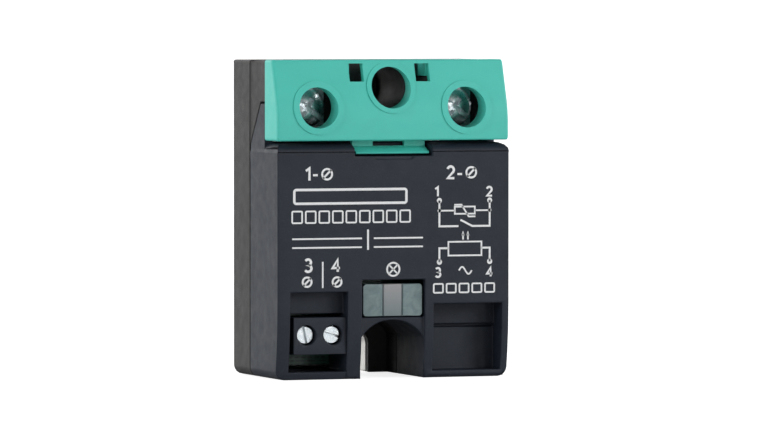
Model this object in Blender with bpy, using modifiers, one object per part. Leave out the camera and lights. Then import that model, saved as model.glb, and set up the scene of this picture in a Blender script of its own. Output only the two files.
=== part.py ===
"""Panel-mount solid state relay: metal base plate, two-part housing, hinged terminal cover.

All driving sizes are in millimetres. "depth" runs from the back of the base plate (0)
towards the front, which is world -Y. "height" is world Z from the bottom edge. x is world X.
"""
import math

import bmesh
import bpy
from mathutils import Matrix, Vector

MM = 0.001

# Overall size
WIDTH = 44.8
HEIGHT = 58.0
DEPTH = 25.1
GAP = 0.3
CORNER_RADIUS = 1.7
TOP_CORNER_RADIUS = 0.5
HALF_WIDTH = WIDTH / 2
WALL = 1.6

# Base plate and its two fixings, on the usual 47.6 mm pitch
PLATE_THICKNESS = 3.0
PLATE_EDGE = 1.9
FIXING_PITCH = 47.6
UPPER_FIXING_HEIGHT = 52.9
SLOT_HEIGHT = UPPER_FIXING_HEIGHT - FIXING_PITCH
FIXING_RADIUS = 2.4
SEAT_DEPTH = 4.4

# Split between rear housing and front cover
HOUSING_TOP = 57.9
HOUSING_CHAMFER = 0.5
SPLIT_DEPTH = 9.5
COVER_TOP = 42.9
COVER_WALL = 1.5
ROLL_DEPTH = 3.8
ROLL_DROP = 1.5
TONGUE_TOP = 50.0
TONGUE_DEPTH = 15.4
TONGUE_FOOT = 42.6
BLOCK_LOW = 43.3

# Screwdriver channel below the light pipe
CHANNEL_HALF = 6.1
CHANNEL_WALL = 1.0
CHANNEL_TOP = 11.9
ARCH_RADIUS = 7.2
ARCH_CENTRE = 3.5

# Power terminals
TERMINAL_X = 14.3
TERMINAL_HEIGHT = 49.3
TERMINAL_FACE = 17.8
BAY_FLOOR = 13.5
BAY_INNER = 7.0
BAY_OUTER = 20.3
BUSBAR_THICKNESS = 1.0
WASHER_THICKNESS = 0.9
NUT_THICKNESS = 3.1
SEAT_BACK = BAY_FLOOR + GAP
SEAT_FRONT = SEAT_BACK + BUSBAR_THICKNESS
SCREW_RADIUS = 2.0
SCREW_HEAD_RADIUS = 3.7

# Mounting tube round the upper fixing
TUBE_INNER = 4.2
TUBE_OUTER = 4.8

# Hinged terminal cover
LID_BOTTOM = 43.3
LID_TOP = 58.0
LID_REAR = 18.1
RING_RISE = 0.2
LID_FRONT_LOW = DEPTH - RING_RISE
LID_FRONT_HIGH = 21.75
LID_BEND = 48.6
LID_BEND_HALF = 2.3
LID_WALL = 1.5
HINGE_DEPTH = 15.7
HINGE_HEIGHT = 56.4
HINGE_PIN_RADIUS = 0.8
LATCH_HALF = 7.05
LATCH_BACK = 21.3

# Light pipe and board
LENS_FACE = 24.4
LENS_HALF = 5.7
LENS_BOTTOM = 11.35
LENS_TOP = 17.2
LENS_RECESS_TOP = 18.0
BOARD_BACK = 12.6
BOARD_FRONT = 14.2

# Control terminal
POLE_PITCH = 5.08
CONTROL_X = -13.95
CONTROL_HEIGHT = 8.1
CONTROL_FACE = 24.2

PARTS = None
CUTTERS = None
CIRCLE = 32


def clear_scene():
    for old in list(bpy.data.objects):
        bpy.data.objects.remove(old, do_unlink=True)


def new_collection(name):
    collection = bpy.data.collections.new(name)
    bpy.context.scene.collection.children.link(collection)
    return collection


def place(x, depth, height):
    """World position of a point given by x, depth from the back and height."""
    return Vector((x * MM, (DEPTH / 2 - depth) * MM, height * MM))


def material(name, colour, roughness, metallic=0.0):
    made = bpy.data.materials.new(name)
    made.use_nodes = True
    shader = made.node_tree.nodes["Principled BSDF"]
    shader.inputs["Base Color"].default_value = (*colour, 1.0)
    shader.inputs["Roughness"].default_value = roughness
    shader.inputs["Metallic"].default_value = metallic
    return made


def add_part(obj, name, surface):
    """Name a finished piece, give it its material and file it with the parts."""
    obj.name = name
    obj.data.name = name
    obj.data.materials.clear()
    obj.data.materials.append(surface)
    file_under(obj, PARTS)
    return obj


def file_under(obj, collection):
    for old in list(obj.users_collection):
        old.objects.unlink(obj)
    collection.objects.link(obj)


def use_as_tool(obj):
    obj.hide_render = True
    obj.display_type = "WIRE"
    file_under(obj, CUTTERS)
    return obj


def boolean(target, tool, operation):
    step = target.modifiers.new(operation.lower(), "BOOLEAN")
    step.operation = operation
    step.solver = "EXACT"
    step.object = use_as_tool(tool)
    return target


def cut(target, *tools):
    for tool in tools:
        boolean(target, tool, "DIFFERENCE")
    return target


def join(target, *tools):
    for tool in tools:
        boolean(target, tool, "UNION")
    return target


def mesh_object(name, mesh):
    obj = bpy.data.objects.new(name, mesh)
    bpy.context.scene.collection.objects.link(obj)
    return obj


def box(x_range, depth_range, height_range):
    """A box between two x, two depths and two heights."""
    mesh = bpy.data.meshes.new("box")
    shape = bmesh.new()
    bmesh.ops.create_cube(shape, size=1.0)
    size = [abs(b - a) * MM for a, b in (x_range, depth_range, height_range)]
    bmesh.ops.scale(shape, vec=size, verts=shape.verts)
    shape.to_mesh(mesh)
    shape.free()
    obj = mesh_object("box", mesh)
    obj.location = place(sum(x_range) / 2, sum(depth_range) / 2, sum(height_range) / 2)
    return obj


def cylinder(radius, centre, span, along="Y", sides=CIRCLE):
    """A round bar. centre is (x, height) along Y, and (depth, height) along X."""
    mesh = bpy.data.meshes.new("cylinder")
    shape = bmesh.new()
    bmesh.ops.create_cone(shape, cap_ends=True, segments=sides, radius1=radius * MM,
                          radius2=radius * MM, depth=abs(span[1] - span[0]) * MM)
    shape.to_mesh(mesh)
    shape.free()
    obj = mesh_object("cylinder", mesh)
    middle = sum(span) / 2
    if along == "Y":
        obj.rotation_euler = (math.radians(90), 0, 0)
        obj.location = place(centre[0], middle, centre[1])
    else:
        obj.rotation_euler = (0, math.radians(90), 0)
        obj.location = place(middle, centre[0], centre[1])
    return obj


def rounded(corners, steps=4):
    """Replace each (u, v, radius) corner of an outline by an arc of that radius."""
    outline = []
    count = len(corners)
    for index, (u, v, radius) in enumerate(corners):
        here = Vector((u, v))
        if radius <= 0:
            outline.append(here)
            continue
        before = (Vector(corners[index - 1][:2]) - here).normalized()
        after = (Vector(corners[(index + 1) % count][:2]) - here).normalized()
        half_angle = before.angle(after) / 2
        reach = radius / math.tan(half_angle)
        centre = here + (before + after).normalized() * radius / math.sin(half_angle)
        start = here + before * reach - centre
        sweep = start.angle_signed(here + after * reach - centre)
        for step in range(steps + 1):
            turned = Matrix.Rotation(-sweep * step / steps, 2) @ start
            outline.append(centre + turned)
    return outline


def prism(outline, span, facing="front"):
    """Extrude an outline. "front": points are (x, height), span is two depths.
    "side": points are (depth, height), span is two x."""
    curve = bpy.data.curves.new("outline", "CURVE")
    curve.dimensions = "2D"
    curve.fill_mode = "BOTH"
    curve.extrude = abs(span[1] - span[0]) / 2 * MM
    spline = curve.splines.new("POLY")
    spline.points.add(len(outline) - 1)
    for point, (u, v) in zip(spline.points, outline):
        point.co = (u * MM, v * MM, 0, 1)
    spline.use_cyclic_u = True
    drawn = mesh_object("outline", curve)
    bpy.context.view_layer.update()
    evaluated = drawn.evaluated_get(bpy.context.evaluated_depsgraph_get())
    mesh = bpy.data.meshes.new_from_object(evaluated)
    shape = bmesh.new()
    shape.from_mesh(mesh)
    bmesh.ops.remove_doubles(shape, verts=shape.verts, dist=0.00001)
    bmesh.ops.recalc_face_normals(shape, faces=shape.faces)
    shape.to_mesh(mesh)
    shape.free()
    bpy.data.objects.remove(drawn)
    bpy.data.curves.remove(curve)
    obj = mesh_object("prism", mesh)
    middle = sum(span) / 2
    if facing == "front":
        obj.rotation_euler = (math.radians(90), 0, 0)
        obj.location = (0, place(0, middle, 0).y, 0)
    else:
        obj.rotation_euler = (math.radians(90), 0, math.radians(-90))
        obj.location = place(middle, 0, 0)
    return obj


def turned(profile, x, height, sides=CIRCLE):
    """A turned piece on a Y axis. profile is (radius, depth) points from front to back."""
    mesh = bpy.data.meshes.new("turned")
    points = [(radius * MM, 0, depth * MM) for radius, depth in profile]
    edges = [(index, index + 1) for index in range(len(points) - 1)]
    mesh.from_pydata(points, edges, [])
    obj = mesh_object("turned", mesh)
    obj.rotation_euler = (math.radians(90), 0, 0)
    obj.location = place(x, 0, height)
    screw = obj.modifiers.new("turn", "SCREW")
    screw.steps = sides
    screw.render_steps = sides
    screw.use_merge_vertices = True
    screw.merge_threshold = 0.00001
    screw.use_smooth_shade = True
    return obj


def rectangle(x_half, low, high, low_radius, high_radius):
    return rounded([(-x_half, low, low_radius), (x_half, low, low_radius),
                    (x_half, high, high_radius), (-x_half, high, high_radius)])


def arch_outline(half, radius, centre):
    """A slot with straight sides and a round top, open at the bottom."""
    first = math.asin(half / radius)
    steps = 12
    points = [(-half, -1.0)]
    for step in range(steps + 1):
        angle = -first + 2 * first * step / steps
        points.append((radius * math.sin(angle), centre + radius * math.cos(angle)))
    points.append((half, -1.0))
    return points


def channel_outline():
    return arch_outline(CHANNEL_HALF, ARCH_RADIUS, ARCH_CENTRE)


def lid_face(height):
    """Depth of the terminal cover's front face: upright, then bending back to a straight lean."""
    lean = (LID_FRONT_LOW - LID_FRONT_HIGH) / (LID_TOP - LID_BEND)
    into_bend = height - LID_BEND + LID_BEND_HALF
    if into_bend <= 0:
        return LID_FRONT_LOW
    if into_bend < 2 * LID_BEND_HALF:
        return LID_FRONT_LOW - lean * into_bend ** 2 / (4 * LID_BEND_HALF)
    return LID_FRONT_LOW - lean * (height - LID_BEND)


def lid_profile(rear, rise, low=LID_BOTTOM, high=LID_TOP):
    """Side outline of a wall from rear to the cover's front face moved forwards by rise."""
    steps = 8
    heights = [low] + [LID_BEND + LID_BEND_HALF * (2 * step / steps - 1)
                       for step in range(steps + 1)] + [high]
    face = [(lid_face(height) + rise, height) for height in heights]
    return [(rear, low)] + face + [(rear, high)]


def both_sides():
    return (("line", -1), ("load", 1))


def span_at(side, inner, outer):
    """An x range mirrored to the left (side -1) or the right (side 1)."""
    return tuple(sorted((side * inner, side * outer)))


# ---------------------------------------------------------------- power end

def base_plate(metal):
    """Plate inset in the housing, with a short foot that carries the open lower slot."""
    foot = CHANNEL_HALF - GAP
    foot_low = 0.1
    inner_half = HALF_WIDTH - PLATE_EDGE
    slot = [Vector((x, max(height, foot_low)))
            for x, height in arch_outline(FIXING_RADIUS, FIXING_RADIUS, SLOT_HEIGHT)]
    lower_left = rounded([(-foot, foot_low, 0), (-foot, PLATE_EDGE, 0),
                          (-inner_half, PLATE_EDGE, 1.0),
                          (-inner_half, HEIGHT - PLATE_EDGE, 1.0),
                          (inner_half, HEIGHT - PLATE_EDGE, 1.0),
                          (inner_half, PLATE_EDGE, 1.0), (foot, PLATE_EDGE, 0),
                          (foot, foot_low, 0)])
    plate = prism(slot + lower_left[::-1], (0, PLATE_THICKNESS))
    cut(plate, cylinder(FIXING_RADIUS, (0, UPPER_FIXING_HEIGHT), (-1, 5), sides=24))
    add_part(plate, "base_plate", metal)


def rear_housing(plastic):
    outline = rectangle(HALF_WIDTH, 0, HOUSING_TOP, CORNER_RADIUS, TOP_CORNER_RADIUS)
    frame = prism(outline, (GAP, SPLIT_DEPTH))
    block_back = SPLIT_DEPTH - 0.5
    block_top = HOUSING_TOP - 0.1
    block = box((-BAY_OUTER, BAY_OUTER), (block_back, TERMINAL_FACE), (BLOCK_LOW, block_top))
    cheek_low = TONGUE_TOP + GAP
    cheeks = prism([(block_back, TONGUE_FOOT), (SPLIT_DEPTH, TONGUE_FOOT),
                    (TONGUE_DEPTH - 0.25, cheek_low), (TERMINAL_FACE, cheek_low),
                    (TERMINAL_FACE, block_top), (block_back, block_top)],
                   (-HALF_WIDTH + 0.15, HALF_WIDTH - 0.15), "side")
    join(frame, block, cheeks)
    bevel_back = TERMINAL_FACE - HOUSING_CHAMFER - 1
    bevel_top = block_top + 1
    cut(frame, prism([(bevel_back, bevel_top), (TERMINAL_FACE + 1, bevel_top),
                      (TERMINAL_FACE + 1, block_top - HOUSING_CHAMFER - 1)],
                     (-HALF_WIDTH - 1, HALF_WIDTH + 1), "side"))
    inner = HALF_WIDTH - WALL
    cut(frame, box((-inner, inner), (-1, SPLIT_DEPTH), (WALL, HOUSING_TOP - WALL)))
    cut(frame, box((-inner, inner), (8, BAY_FLOOR), (WALL, BLOCK_LOW)))
    for _, side in both_sides():
        terminal_bay(frame, side)
        support_ribs(frame, side, inner)
        cut(frame, cylinder(HINGE_PIN_RADIUS + 0.2, (HINGE_DEPTH, HINGE_HEIGHT),
                            span_at(side, 5.1, 12), "X", 16))
    tube_back = PLATE_THICKNESS + GAP
    join(frame, cylinder(TUBE_OUTER, (0, UPPER_FIXING_HEIGHT), (tube_back, TERMINAL_FACE + 1.7)))
    cut(frame, cylinder(TUBE_INNER, (0, UPPER_FIXING_HEIGHT), (SEAT_DEPTH, 25)))
    cut(frame, cylinder(FIXING_RADIUS + 0.1, (0, UPPER_FIXING_HEIGHT), (2, 6), sides=24))
    wall_half = CHANNEL_HALF + CHANNEL_WALL
    join(frame, box((-wall_half, wall_half), (tube_back, SPLIT_DEPTH), (WALL / 2, CHANNEL_TOP)))
    cut(frame, prism(channel_outline(), (SEAT_DEPTH, 12)))
    cut(frame, box((-CHANNEL_HALF, CHANNEL_HALF), (-1, tube_back), (-1, WALL + 1)))
    slot_half = FIXING_RADIUS + 0.1
    cut(frame, prism(arch_outline(slot_half, slot_half, SLOT_HEIGHT), (2, 6)))
    add_part(frame, "rear_housing", plastic)


def terminal_bay(frame, side):
    """Open bay for one power terminal, with its nut pocket, strip slot and hinge lug."""
    centre = side * TERMINAL_X
    pocket = 3.7
    pocket_back = BAY_FLOOR - NUT_THICKNESS - 2 * GAP
    cut(frame, box(span_at(side, BAY_INNER, BAY_OUTER), (BAY_FLOOR, 20), (BLOCK_LOW + 1, 60)))
    join(frame, box((centre - 4.7, centre + 4.7), (pocket_back - 1, SPLIT_DEPTH + 0.5),
                    (45.6, 54.0)))
    cut(frame, box((centre - pocket, centre + pocket), (pocket_back, 15),
                   (45.0, TERMINAL_HEIGHT + pocket)))
    cut(frame, box((centre - 4.3, centre + 4.3), (8, 15), (BLOCK_LOW + 1, 45.6)))
    cut(frame, cylinder(SCREW_RADIUS + 0.5, (centre, TERMINAL_HEIGHT), (6, 12), sides=16))
    join(frame, box(span_at(side, 9.4, 10.6), (BAY_FLOOR - 0.5, TERMINAL_FACE - 0.4),
                    (54.8, HOUSING_TOP - 0.2)))


def support_ribs(frame, side, inner):
    """Two ribs on a side wall that hold the control board at its height."""
    back = PLATE_THICKNESS + GAP
    for low in (14.0, 34.0):
        heights = (low, low + 2.2)
        rib = box(span_at(side, 18.4, inner - GAP), (back, BOARD_BACK - GAP), heights)
        root = box(span_at(side, inner - 1, inner + 0.5), (back, SPLIT_DEPTH - 0.5), heights)
        join(frame, rib, root)


def busbars(metal):
    """Tinned copper strips from the power chips to the two terminal seats."""
    foot = 5.3
    for name, side in both_sides():
        centre = side * TERMINAL_X
        strip = prism([(foot, 26), (foot + BUSBAR_THICKNESS, 26),
                       (foot + BUSBAR_THICKNESS, 44.5), (SEAT_FRONT, 44.5), (SEAT_FRONT, 53.9),
                       (SEAT_BACK, 53.9), (SEAT_BACK, 45.3), (foot, 45.3)],
                      (centre - 4.0, centre + 4.0), "side")
        cut(strip, cylinder(SCREW_RADIUS + 0.4, (centre, TERMINAL_HEIGHT), (12, 16), sides=20))
        add_part(strip, name + "_busbar", metal)


def terminal_nuts(steel):
    half = 3.5
    front = BAY_FLOOR - GAP
    for name, side in both_sides():
        centre = side * TERMINAL_X
        nut = box((centre - half, centre + half), (front - NUT_THICKNESS, front),
                  (TERMINAL_HEIGHT - half, TERMINAL_HEIGHT + half))
        cut(nut, cylinder(SCREW_RADIUS + 0.15, (centre, TERMINAL_HEIGHT), (8, 15), sides=24))
        add_part(nut, name + "_terminal_nut", steel)


def clamp_washers(steel):
    """Square clamping plates that rise and fall with the power screws."""
    half = 4.0
    for name, side in both_sides():
        centre = side * TERMINAL_X
        low, high = TERMINAL_HEIGHT - half, TERMINAL_HEIGHT + half
        outline = rounded([(centre - half, low, 0.6), (centre + half, low, 0.6),
                           (centre + half, high, 0.6), (centre - half, high, 0.6)], 2)
        washer = prism(outline, (SEAT_FRONT + GAP, SEAT_FRONT + GAP + WASHER_THICKNESS))
        cut(washer, cylinder(SCREW_RADIUS + 0.2, (centre, TERMINAL_HEIGHT), (12, 18), sides=20))
        add_part(washer, name + "_clamp_washer", steel)


def power_screws(steel):
    """Combination-head screws: slot and cross in a domed head."""
    under_head = SEAT_FRONT + 2 * GAP + WASHER_THICKNESS
    crown = under_head + 2.1
    tip = BAY_FLOOR - 5.0
    profile = [(0, crown), (1.9, crown - 0.15), (3.1, crown - 0.6),
               (SCREW_HEAD_RADIUS, crown - 1.3), (SCREW_HEAD_RADIUS, under_head),
               (SCREW_RADIUS, under_head), (SCREW_RADIUS, tip + 0.6),
               (SCREW_RADIUS - 0.6, tip), (0, tip)]
    for name, side in both_sides():
        centre = side * TERMINAL_X
        screw = turned(profile, centre, TERMINAL_HEIGHT, 24)
        slot = box((-4.5, 4.5), (0, 2.0), (0, 0.8))
        turn_about(slot, centre, crown - 0.1, TERMINAL_HEIGHT, 35)
        cross_a = box((-1.9, 1.9), (0, 3.2), (0, 1.0))
        turn_about(cross_a, centre, crown - 0.1, TERMINAL_HEIGHT, 35)
        cross_b = box((-1.9, 1.9), (0, 3.2), (0, 1.0))
        turn_about(cross_b, centre, crown - 0.1, TERMINAL_HEIGHT, 125)
        cut(screw, slot, cross_a, cross_b)
        add_part(screw, name + "_terminal_screw", steel)


def turn_about(tool, x, depth, height, degrees):
    """Centre a tool on a screw head and turn it about the screw's axis."""
    tool.location = place(x, depth, height)
    tool.rotation_euler = (0, math.radians(degrees), 0)


def hinge_pins(steel):
    for name, side in both_sides():
        span = span_at(side, 5.4, 10.4)
        pin = cylinder(HINGE_PIN_RADIUS, (HINGE_DEPTH, HINGE_HEIGHT), span, "X", 16)
        add_part(pin, name + "_hinge_pin", steel)


# ---------------------------------------------------------------- terminal cover

def terminal_cover(plastic):
    """Leaning front wall, two cheeks, hinge ears at the top and a latch tab at the bottom."""
    cover = prism(lid_profile(LID_REAR, 0), (-HALF_WIDTH, HALF_WIDTH), "side")
    hollow = prism(lid_profile(LID_REAR - 1, -LID_WALL, LID_BOTTOM - 1, LID_TOP + 1),
                   (-HALF_WIDTH + LID_WALL, HALF_WIDTH - LID_WALL), "side")
    cut(cover, hollow)
    holes = ((-TERMINAL_X, TERMINAL_HEIGHT, 3.72, 4.85), (0, UPPER_FIXING_HEIGHT, 3.8, 4.65),
             (TERMINAL_X, TERMINAL_HEIGHT, 3.72, 4.85))
    for x, height, hole_radius, ring_radius in holes:
        ring = prism(lid_profile(LID_REAR, RING_RISE), (x - 6, x + 6), "side")
        boolean(ring, cylinder(ring_radius, (x, height), (LID_FRONT_HIGH - 1, 28)), "INTERSECT")
        join(cover, ring)
        if x != 0:
            collar = cylinder(ring_radius, (x, height), (21.2, lid_face(height) - 1.0))
            join(cover, collar)
        cut(cover, cylinder(hole_radius, (x, height), (18, 28)))
    for _, side in both_sides():
        cut(cover, box(span_at(side, 5.0, 7.8), (18, 28), (54.0, 57.3)))
        reach = lid_face(HINGE_HEIGHT) - 1.0
        ear = prism(rounded([(HINGE_DEPTH - 1.4, HINGE_HEIGHT - 1.4, 1.35),
                             (reach, HINGE_HEIGHT - 1.4, 0), (reach, HINGE_HEIGHT + 1.4, 0),
                             (HINGE_DEPTH - 1.4, HINGE_HEIGHT + 1.4, 1.35)]),
                    span_at(side, 7.35, 9.05), "side")
        join(cover, ear)
    cut(cover, cylinder(HINGE_PIN_RADIUS + 0.2, (HINGE_DEPTH, HINGE_HEIGHT), (-12, 12), "X", 16))
    face = LATCH_BACK + 0.8
    root = LID_FRONT_LOW - 1.0
    latch = prism([(LATCH_BACK, LID_BOTTOM + 2), (root, LID_BOTTOM + 2),
                   (root, LID_BOTTOM + 0.1), (face, LID_BOTTOM - 0.1), (face, 42.2),
                   (LATCH_BACK + 3.1, 41.2), (LATCH_BACK + 2.8, 40.85), (LATCH_BACK, 41.4)],
                  (-LATCH_HALF, LATCH_HALF), "side")
    join(cover, latch)
    cut(cover, box((-3.05, 3.05), (20, 22.9), (42.3, 43.15)))
    add_part(cover, "terminal_cover", plastic)


# ---------------------------------------------------------------- front cover

def front_cover(plastic):
    start = SPLIT_DEPTH + GAP
    turns = [math.radians(15 * step) for step in range(7)]
    roll = [(DEPTH - ROLL_DEPTH * (1 - math.cos(turn)), COVER_TOP - ROLL_DROP * (1 - math.sin(turn)))
            for turn in turns]
    profile = [(start, 0), (DEPTH - 1.3, 0), (DEPTH - 0.6, 4.5), (DEPTH - 0.15, 9), (DEPTH, 14)]
    profile += roll + [(start, COVER_TOP)]
    shell = prism(profile, (-HALF_WIDTH, HALF_WIDTH), "side")
    boolean(shell, prism(rectangle(HALF_WIDTH, 0, COVER_TOP, CORNER_RADIUS, CORNER_RADIUS), (5, 28)),
            "INTERSECT")
    inner = HALF_WIDTH - WALL
    front_inner = DEPTH - COVER_WALL
    tongue_front = TERMINAL_FACE - 0.1
    for _, side in both_sides():
        tongue = prism([(start, 38), (tongue_front, 38), (tongue_front, TONGUE_TOP),
                        (TONGUE_DEPTH, TONGUE_TOP), (start, TONGUE_FOOT)],
                       span_at(side, inner, HALF_WIDTH - 0.1), "side")
        join(shell, tongue)
    cut(shell, box((-inner, inner), (8, front_inner), (COVER_WALL, COVER_TOP - COVER_WALL)))
    latch_seat = box((-8.6, 8.6), (LATCH_BACK - 1.8, front_inner + 0.5), (39.0, COVER_TOP - 0.5))
    join(shell, latch_seat)
    cut(shell, box((-7.5, 7.5), (LATCH_BACK - GAP, 28), (40.5, 45)))
    cut(shell, prism([(-4.2, 40.6), (-3.6, 39.9), (3.4, 39.9), (4.2, 40.6)], (DEPTH - 0.3, 28)))
    light_pipe_bay(shell)
    control_bay(shell)
    blank_bay(shell)
    add_part(shell, "front_cover", plastic)


def light_pipe_bay(shell):
    """Window for the light pipe over the arched screwdriver channel."""
    wall_half = CHANNEL_HALF + CHANNEL_WALL
    sill = LENS_BOTTOM - 0.2
    recess = LENS_FACE - 0.1
    join(shell, box((-wall_half, wall_half), (SPLIT_DEPTH + GAP, DEPTH - 3.4), (0.05, CHANNEL_TOP)))
    join(shell, box((-wall_half, wall_half), (DEPTH - 4, DEPTH - 1), (0.05, sill)))
    cut(shell, prism(channel_outline(), (8, 28)))
    cut(shell, box((-CHANNEL_HALF, CHANNEL_HALF), (recess, 28), (-1, LENS_RECESS_TOP)))
    cut(shell, box((-CHANNEL_HALF, CHANNEL_HALF), (DEPTH - 3.4, 28), (sill, LENS_RECESS_TOP)))


def control_bay(shell):
    """Opening for the control terminal, with wire entry from below."""
    left, right = -19.9, -8.85
    top = 15.9
    inner_front = DEPTH - 1
    join(shell, box((right, -CHANNEL_HALF - 0.5), (BOARD_FRONT + 0.4, inner_front), (0.4, top)))
    join(shell, box((-HALF_WIDTH + 1, -6.8), (DEPTH - 4.2, inner_front), (11.9, 17.2)))
    cut(shell, box((left, right), (DEPTH - 2.7, 28), (1.4, top)))
    cut(shell, box((left, right), (8, 28), (1.4, 11.6)))
    cut(shell, box((left + 0.8, right - 0.3), (11.8, DEPTH - 3.6), (-1, 2)))


def blank_bay(shell):
    """Stepped blind recess on the other side, closed at its back."""
    left, right = 7.8, 21.1
    panel = DEPTH - 4.9
    join(shell, box((CHANNEL_HALF + 0.5, HALF_WIDTH - 1), (panel - 1.7, DEPTH - 1), (0.4, 15.0)))
    cut(shell, box((left, right), (panel, 28), (1.3, 9.2)))
    cut(shell, box((left, right), (panel + 0.6, 28), (9.0, 13.5)))
    cut(shell, box((left, right), (panel - 0.6, 28), (9.0, 9.6)))


def light_pipe(clear):
    lens = box((-LENS_HALF, LENS_HALF), (LENS_FACE - 2.4, LENS_FACE), (LENS_BOTTOM, LENS_TOP))
    stem = box((-3.4, 3.4), (BOARD_FRONT + 2.3, LENS_FACE - 2), (12.4, 16.2))
    join(lens, stem)
    for x in (-1.85, 1.85):
        cut(lens, box((x - 0.1, x + 0.1), (LENS_FACE - 0.2, 26), (LENS_BOTTOM - 1, LENS_TOP + 1)))
    add_part(lens, "light_pipe", clear)


# ---------------------------------------------------------------- control terminal

def pole_x(index):
    return CONTROL_X + (index - 0.5) * POLE_PITCH


def control_terminal(plastic):
    half = POLE_PITCH
    back = BOARD_FRONT + GAP
    body = box((CONTROL_X - half, CONTROL_X + half), (back, CONTROL_FACE), (4.6, 11.3))
    for index in range(2):
        x = pole_x(index)
        cut(body, box((x - 1.9, x + 1.9), (back + 0.5, CONTROL_FACE - 2.6), (4.0, 10.3)))
        cut(body, cylinder(1.85, (x, CONTROL_HEIGHT), (19, 26), sides=24))
    add_part(body, "control_terminal_block", plastic)


def control_screws(steel):
    crown = CONTROL_FACE - 1.1
    under_head = crown - 1.3
    tip = crown - 4.1
    head, shank = 1.6, 1.15
    profile = [(0, crown), (head - 0.15, crown), (head, crown - 0.15), (head, under_head),
               (shank, under_head), (shank, tip), (0, tip)]
    for index, angle in enumerate((78, 15)):
        x = pole_x(index)
        screw = turned(profile, x, CONTROL_HEIGHT, 24)
        slot = box((-2, 2), (0, 1.4), (0, 0.45))
        turn_about(slot, x, crown, CONTROL_HEIGHT, angle)
        cut(screw, slot)
        add_part(screw, "control_screw_a%d" % (index + 1), steel)


def clamp_cages(steel):
    """Rising cages that pull the wire up against the contact bar."""
    back = BOARD_FRONT + 0.9
    front = back + 4.9
    for index in range(2):
        x = pole_x(index)
        cage = box((x - 1.6, x + 1.6), (back, front), (5.2, 9.9))
        cut(cage, box((x - 1.15, x + 1.15), (back + 0.6, front - 0.6), (4, 11)))
        cut(cage, cylinder(1.35, (x, CONTROL_HEIGHT), (17, 24), sides=20))
        add_part(cage, "clamp_cage_a%d" % (index + 1), steel)


def contact_bars(metal):
    """Fixed contact inside each cage."""
    back = BOARD_FRONT + 3.9
    for index in range(2):
        x = pole_x(index)
        bar = box((x - 0.8, x + 0.8), (back, back + 0.55), (4.9, 10.05))
        add_part(bar, "contact_bar_a%d" % (index + 1), metal)


# ---------------------------------------------------------------- electronics

def power_chips(ceramic, silicon):
    substrate = box((-19.0, 19.0), (PLATE_THICKNESS + GAP, 4.3), (18.0, 32.5))
    add_part(substrate, "ceramic_substrate", ceramic)
    for name, side in both_sides():
        chip = box(span_at(side, TERMINAL_X - 4.2, TERMINAL_X + 4.2), (4.6, 5.0), (23.5, 31.9))
        add_part(chip, name + "_thyristor", silicon)


def gate_pins(metal):
    """Upright leads between the power chips and the board."""
    for index, (x, height) in enumerate(((-6.5, 23), (-6.5, 28), (6.5, 23), (6.5, 28))):
        pin = cylinder(0.35, (x, height), (4.6, BOARD_BACK - GAP), sides=12)
        add_part(pin, "gate_pin_%d" % (index + 1), metal)


def board(laminate):
    notch = CHANNEL_HALF + CHANNEL_WALL + 0.4
    outline = [(-20.0, 2.2), (-notch, 2.2), (-notch, 12.4), (notch, 12.4), (notch, 2.2),
               (20.0, 2.2), (20.0, 40.8), (-20.0, 40.8)]
    add_part(prism(outline, (BOARD_BACK, BOARD_FRONT)), "control_board", laminate)


def board_components(black, yellow, film, tan, lamp):
    face = BOARD_FRONT + GAP
    led = box((-1.5, 1.5), (face, face + 1.5), (13.3, 15.3))
    add_part(led, "status_led", lamp)
    isolator = prism(rounded([(-3.3, 21.5, 0.5), (3.3, 21.5, 0.5), (3.3, 30.5, 0.5),
                              (-3.3, 30.5, 0.5)], 2), (face, face + 3.4))
    add_part(isolator, "optocoupler", black)
    rectifier = prism(rounded([(-16.5, 22, 0.6), (-9.5, 22, 0.6), (-9.5, 30, 0.6),
                               (-16.5, 30, 0.6)], 2), (face, face + 2.6))
    add_part(rectifier, "bridge_rectifier", black)
    varistor = cylinder(4.0, (face + 4.1, 25), (10.5, 13.9), "X", 24)
    add_part(varistor, "varistor", yellow)
    capacitor = box((3.5, 13.5), (face, face + 6.5), (32.5, 37.0))
    add_part(capacitor, "snubber_capacitor", film)
    for name, height in (("snubber_resistor", 35.5), ("input_resistor", 32.0)):
        resistor = cylinder(1.15, (face + 1.2, height), (-15.5, -8.0), "X", 16)
        add_part(resistor, name, tan)


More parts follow.
